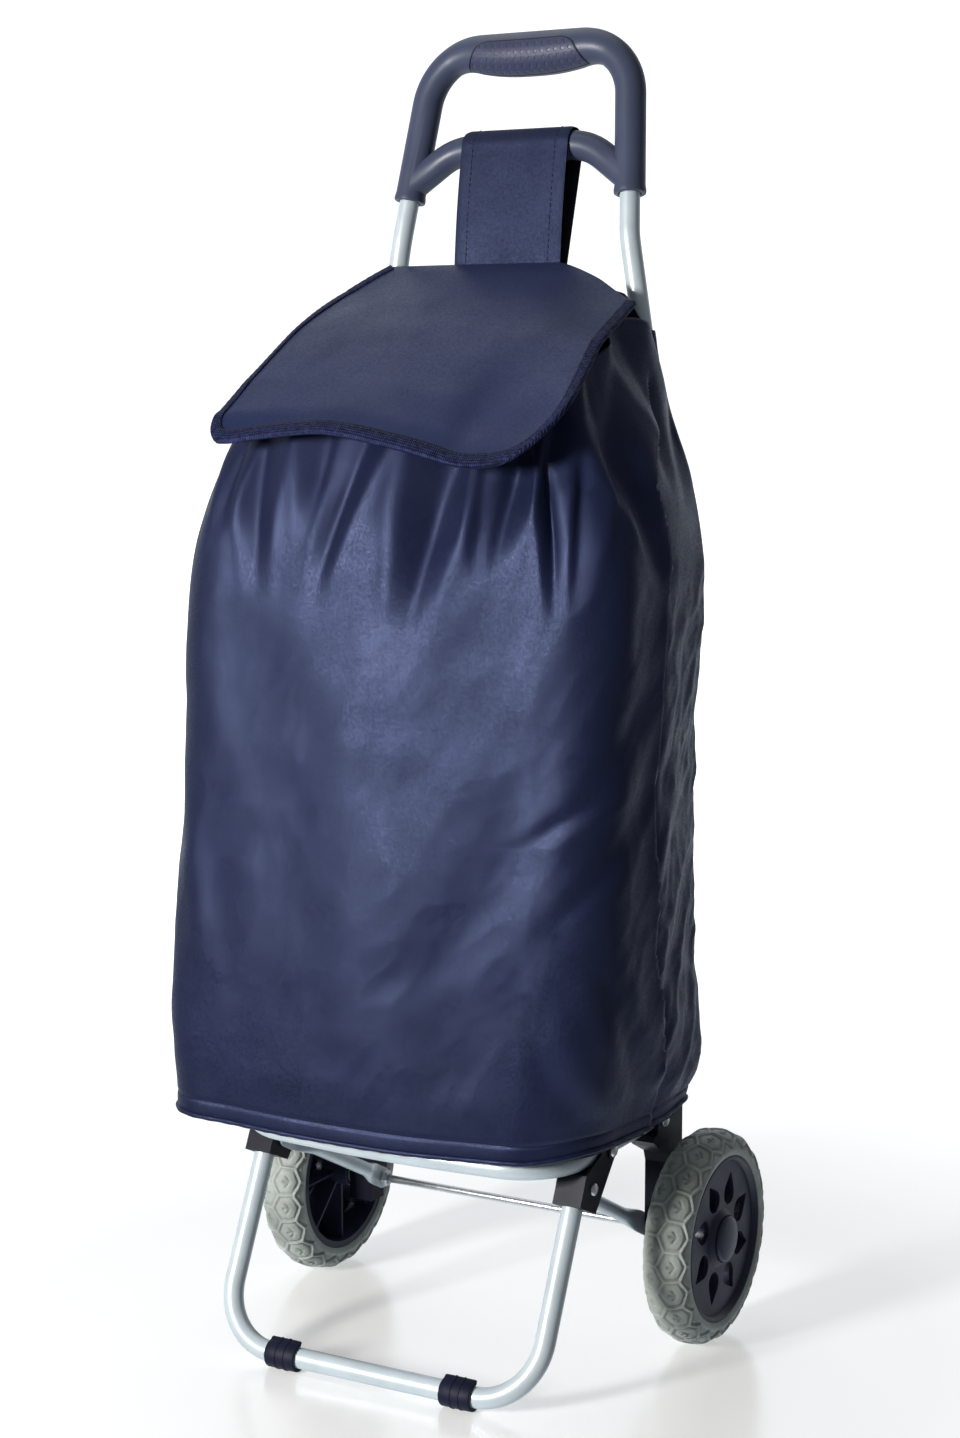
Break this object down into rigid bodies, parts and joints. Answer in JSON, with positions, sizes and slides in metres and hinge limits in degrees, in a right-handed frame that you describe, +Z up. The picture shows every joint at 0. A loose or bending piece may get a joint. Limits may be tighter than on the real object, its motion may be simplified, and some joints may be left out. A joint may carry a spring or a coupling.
{
  "type": "folding shopping trolley",
  "caption": "Folding shopping trolley on wheels: bent-tube frame, moulded grip handle, fold-up platform with a U-shaped leg, and a tall fabric bag hung from the handle with a flap lid.",
  "frame": {"origin": "on the floor, midway between the left and right wheels and midway between the front of the foot clips and the backs of the tyres", "axes": "+Z up, +X to the right seen from the front, the bag and the leg are towards -Y and the wheels and uprights towards +Y"},
  "size_m": [0.375, 0.2954, 0.969],
  "materials": {
    "handle_plastic": "satin",
    "grip_plastic": "soft matt",
    "tube_paint": "satin silver-blue paint",
    "bracket_plastic": "satin",
    "hub_plastic": "satin",
    "tyre_rubber": "matt",
    "bag_fabric": "close woven, slight sheen",
    "binding_tape": "ribbed woven tape",
    "webbing": "matt webbing",
    "floor_board": "fabric covered board",
    "steel": "bright"
  },
  "bodies": {
    "frame": {"handle_moulding": "handle_plastic", "handle_grip": "grip_plastic", "upright_left": "tube_paint", "upright_right": "tube_paint", "rear_crossbar": "tube_paint", "rear_bracket_left": "bracket_plastic", "rear_bracket_right": "bracket_plastic", "platform_rivet_left": "steel", "platform_rivet_right": "steel", "axle": "steel", "axle_nut_left": "steel", "axle_nut_right": "steel", "axle_spacer_left": "steel", "axle_spacer_right": "steel", "wheel_washer_left": "steel", "wheel_washer_right": "steel", "bag_body": "bag_fabric", "bag_piping": "bag_fabric", "bag_strap": "bag_fabric", "loop_upper_left": "bag_fabric", "loop_upper_right": "bag_fabric", "loop_lower_left": "webbing", "loop_lower_right": "webbing"},
    "platform": {"platform_frame": "tube_paint", "bag_floor": "floor_board"},
    "leg": {"leg_frame": "tube_paint", "leg_bracket_left": "bracket_plastic", "leg_bracket_right": "bracket_plastic", "leg_washer_left": "bracket_plastic", "leg_washer_right": "bracket_plastic", "leg_rivet_left": "steel", "leg_rivet_right": "steel", "socket_rivet_left": "steel", "socket_rivet_right": "steel", "foot_clip_left": "bracket_plastic", "foot_clip_right": "bracket_plastic"},
    "braces": {"brace_left": "tube_paint", "brace_right": "tube_paint", "brace_rivet_left": "steel", "brace_rivet_right": "steel"},
    "wheel_left": {"tyre_left": "tyre_rubber", "wheel_hub_left": "hub_plastic", "hub_cap_left": "hub_plastic"},
    "wheel_right": {"tyre_right": "tyre_rubber", "wheel_hub_right": "hub_plastic", "hub_cap_right": "hub_plastic"},
    "lid": {"bag_lid": "bag_fabric", "lid_binding": "binding_tape"}
  },
  "joints": [
    {"name": "platform_fold", "type": "hinge", "parent": "frame", "child": "platform", "pos_m": [0, 0.04775, 0.17], "axis": [-1, 0, 0], "range_deg": [0, 85]},
    {"name": "leg_fold", "type": "hinge", "parent": "platform", "child": "leg", "pos_m": [0, -0.03875, 0.17], "axis": [-1, 0, 0], "range_deg": [-110.8, 0]},
    {"name": "brace_fold", "type": "hinge", "parent": "frame", "child": "braces", "pos_m": [0, 0.06774, 0.08], "axis": [-1, 0, 0], "range_deg": [0, 45.9]},
    {"name": "wheel_left_spin", "type": "hinge", "parent": "frame", "child": "wheel_left", "pos_m": [-0.166, 0.06774, 0.08], "axis": [1, 0, 0], "continuous": true},
    {"name": "wheel_right_spin", "type": "hinge", "parent": "frame", "child": "wheel_right", "pos_m": [0.166, 0.06774, 0.08], "axis": [1, 0, 0], "continuous": true},
    {"name": "lid_hinge", "type": "hinge", "parent": "frame", "child": "lid", "pos_m": [0, 0.05325, 0.7956], "axis": [-1, 0, 0], "range_deg": [0, 120]}
  ],
  "couplings": [
    {"joint": "leg_fold", "follows": "platform_fold", "ratio": -1.3025},
    {"joint": "brace_fold", "follows": "platform_fold", "ratio": 0.5398}
  ]
}
